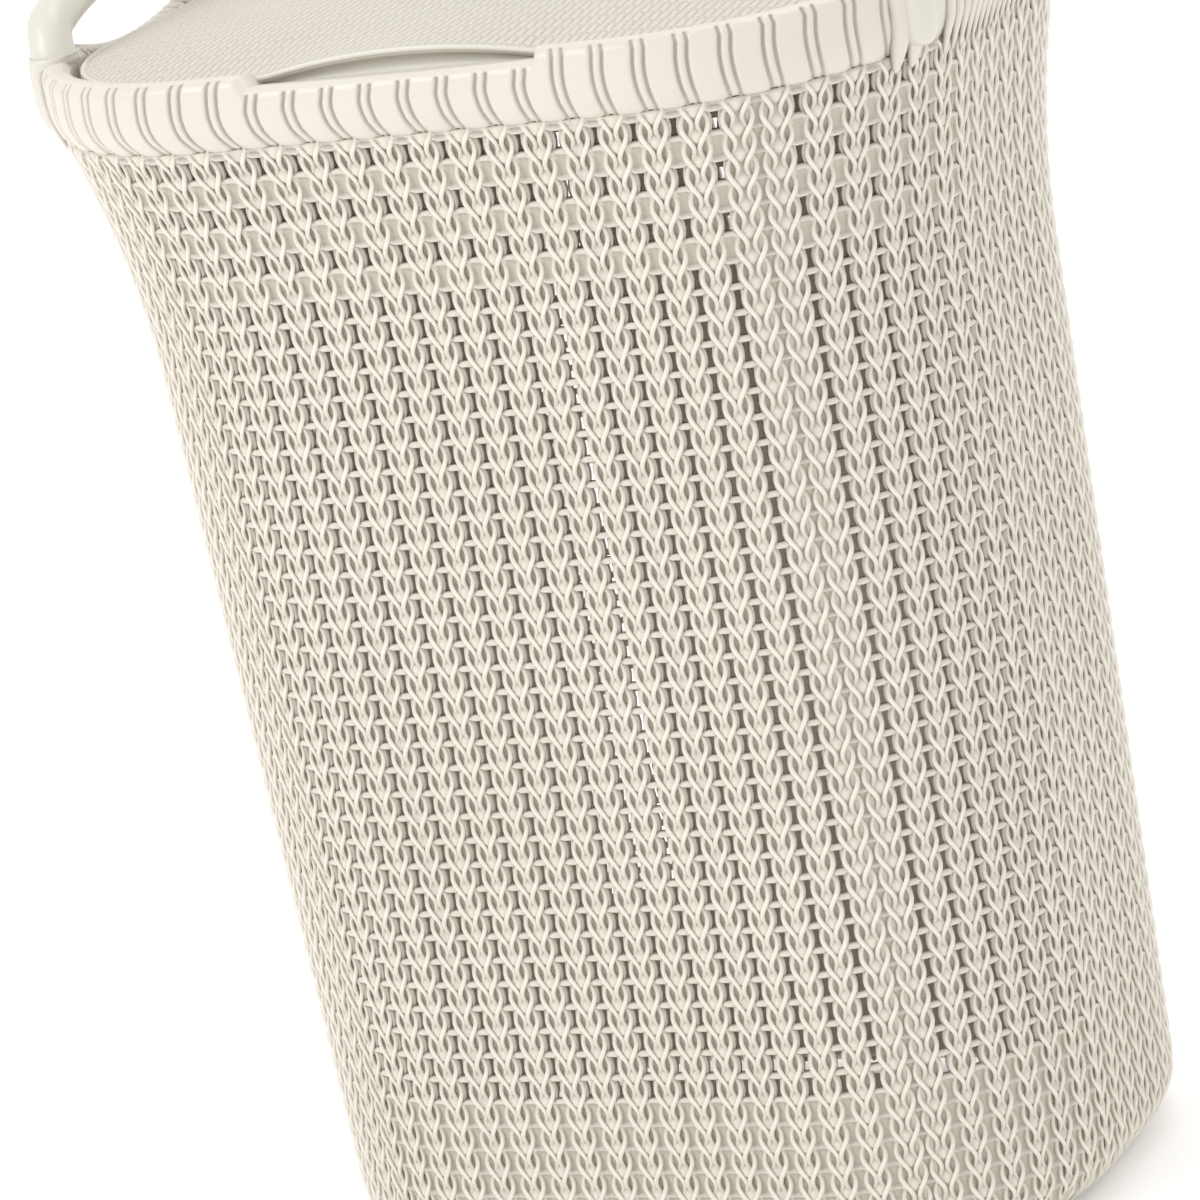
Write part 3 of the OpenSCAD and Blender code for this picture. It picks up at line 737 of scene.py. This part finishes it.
def makeCollar(sx, sy):
    # a socket that swells out of the rim: rings of varying radius, pulled in on the side of the lid
    g = gripShape
    zs, size, push = np.array(collar["rings"]).T
    turn = 2 * math.pi * np.arange(collar["sides"]) / collar["sides"]
    dx, dy = g["x"] - rimX, g["half"] - rimY
    away = np.array([dx, dy]) / math.hypot(dx, dy)
    facing = np.cos(turn) * away[0] + np.sin(turn) * away[1]
    nearLid = np.abs(zs - collar["lidHeight"]) < collar["lidReach"]
    inward = 1 - collar["pull"] * np.clip(-facing, 0, 1) ** 1.5 * nearLid[:, None]
    cx = g["x"] + away[0] * push
    cy = g["half"] + away[1] * push
    x = cx[:, None] + size[:, None] * inward * np.cos(turn)
    y = cy[:, None] + size[:, None] * inward * np.sin(turn)
    height = np.broadcast_to(zs[:, None], x.shape)
    points = np.stack([sx * np.clip(x, 0, cadX), sy * y, height], -1).reshape(-1, 3)
    n, m = x.shape
    same = sx * sy > 0
    faces = gridFaces(n, m, wrapColumns=True, flip=not same)
    tri = capFan(m)
    bottom = tri[:, [0, 2, 1, 3]] if same else tri
    top = (tri if same else tri[:, [0, 2, 1, 3]]) + np.array([1, 1, 1, 0]) * (n - 1) * m
    return points, np.concatenate([faces, bottom, top])


for side, name in ((-1, "left"), (1, "right")):
    points, faces = makeGrip(side)
    grip = meshPiece(f"grip_arch_{name}", points, faces)
    finish(grip, "tub", "grip_plastic", gripPlastic, f"grip_{name}")
    for sy, end in ((-1, "front"), (1, "rear")):
        points, faces = makeCollar(side, sy)
        piece = meshPiece(f"collar_{name}_{end}", points, faces)
        finish(piece, "tub", "grip_plastic", gripPlastic, f"sleeve_{name}_{end}")
print("grips and collars")


lid = {
    "gap": 0.001, "sideGap": 0.0044, "dome": 0.010, "panel": 0.0024, "lipHalf": 0.065, "lipRise": 0.0065,
    "swell": 0.070, "bottom": 0.5452, "edgeTop": 0.553, "hollow": 0.0044, "foot": 0.0022, "shelf": 0.0017,
}
lidRadius = bandRadius - 0.013 - lid["gap"]
lidX = rimX + bandRadius - 0.013 - lid["sideGap"] - lidRadius


def lipArch(x):
    return lid["lipRise"] * np.clip(1 - (x / lid["lipHalf"]) ** 2, 0, 1)


def domeTop(f, x, y):
    # low dome that swells up behind the lip
    behind = y + rimY + lidRadius
    swell = lipArch(x) * np.clip(1 - behind / lid["swell"], 0, 1) ** 2
    return lid["edgeTop"] + lid["dome"] * (1 - f ** 2.4) + swell


def makeDome(rings=70, around=360):
    f = np.linspace(0.004, 1, rings)[:, None]
    share = np.arange(around)[None, :] / around
    radius = lidRadius - 0.0010
    x, y, _, _ = planPoint(share + 0 * f, lidX * f, rimY * f, radius * f)
    top = domeTop(f, x, y) - 0.0012 * smoothStep((f - 0.992) / 0.008)
    under = top[::-1] - lid["panel"]
    points = np.concatenate([np.stack([x, y, top], -1), np.stack([x[::-1], y[::-1], under], -1)])
    faces = gridFaces(2 * rings, around, wrapColumns=True, flip=True)
    first = capFan(around)
    last = first[:, [0, 2, 1, 3]] + np.array([1, 1, 1, 0]) * (2 * rings - 1) * around
    faces = np.concatenate([faces, first, last])
    stitched = np.concatenate([smoothStep((0.996 - f) / 0.012) + 0 * x, 0 * x])
    return meshPiece("lid_dome", points.reshape(-1, 3), faces, {"stitched": stitched})


def makeLidEdge(around=1200):
    # flange round the lid: in front it opens into a shallow hollow under the arched lip
    share = np.arange(around)[:, None] / around
    x0, y0, _, _ = planPoint(share, lidX, rimY, lidRadius)
    front = (y0 < 0)
    rise = np.where(front, lipArch(x0), 0)
    push = np.where(front, lid["hollow"] * smoothStep((lid["lipHalf"] - np.abs(x0)) / 0.003), 0) + 0.00005
    inHollow = 0.0003 * (push > 0.001)
    low, top, r = lid["bottom"], lid["edgeTop"] + rise, lidRadius
    under = np.maximum(top - lid["shelf"] - 0.0003, low + lid["foot"] + 0.0012)
    zero = 0 * rise
    rows = [(r - 0.0055, top - 0.0016), (r - 0.0055, low + zero), (r - 0.0004, low + zero),
            (r, low + 0.0004 + zero),
            (r, low + lid["foot"] - 0.0003 + zero), (r - inHollow, low + lid["foot"] + zero),
            (r - push, low + lid["foot"] + 0.0002 + zero), (r - push, under - 0.0003),
            (r - inHollow, under), (r, under + 0.0003), (r, top - 0.0008), (r - 0.0002, top - 0.0003),
            (r - 0.0006, top), (r - 0.0013, top + 0.0001), (r - 0.0022, top - 0.0006)]
    rho = np.concatenate([np.broadcast_to(a, (around, 1)) for a, _ in rows], 1)
    z = np.concatenate([b for _, b in rows], 1)
    x, y, _, _ = planPoint(share + 0 * rho, lidX, rimY, rho)
    faces = gridFaces(around, len(rows), wrapRows=True, wrapColumns=True)
    return meshPiece("lid_edge", np.stack([x, y, z], -1).reshape(-1, 3), faces)


finish(makeDome(), "lid", "lid_plastic", lidPlastic, "lid_panel")
finish(makeLidEdge(), "lid", "rim_plastic", gripPlastic, "lid_border", "lid_lip")
print("lid")

for name in ("hinge_clip_left", "hinge_clip_right", "hinge_bar_left", "hinge_bar_right", "tub_floor"):
    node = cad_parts[name]
    node.data.materials.clear()
    node.data.materials.append(plainPlastic)


def makeFloor():
    # a flat floor that curves up into a backdrop far behind
    bend = np.linspace(0.05, math.pi / 2, 20)
    y = np.concatenate([np.linspace(-9, 5, 30), 5 + 3 * np.sin(bend), np.full(4, 8.0)])
    z = np.concatenate([np.zeros(30), 3 * (1 - np.cos(bend)), np.linspace(4, 9, 4)])
    x = np.linspace(-12, 12, 13)
    points = np.stack(np.broadcast_arrays(x[None, :], y[:, None], z[:, None] - 0.0002), -1)
    return meshPiece("studio_floor", points.reshape(-1, 3), gridFaces(len(y), len(x)))


floor = makeFloor()
floorPaper = bpy.data.materials.new("floorPaper")
floorPaper.use_nodes = True
paper = floorPaper.node_tree.nodes["Principled BSDF"].inputs
paper["Base Color"].default_value = studio["floorColor"]
paper["Roughness"].default_value = 0.9
paper["Emission Color"].default_value = (1, 1, 1, 1)
paper["Emission Strength"].default_value = studio["floorGlow"]
floor.data.materials.append(floorPaper)

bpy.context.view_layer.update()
meshes = [o.data for o in bpy.data.objects if o.type == "MESH" and not o.hide_render]
print("triangles", sum(len(p.vertices) - 2 for mesh in meshes for p in mesh.polygons))
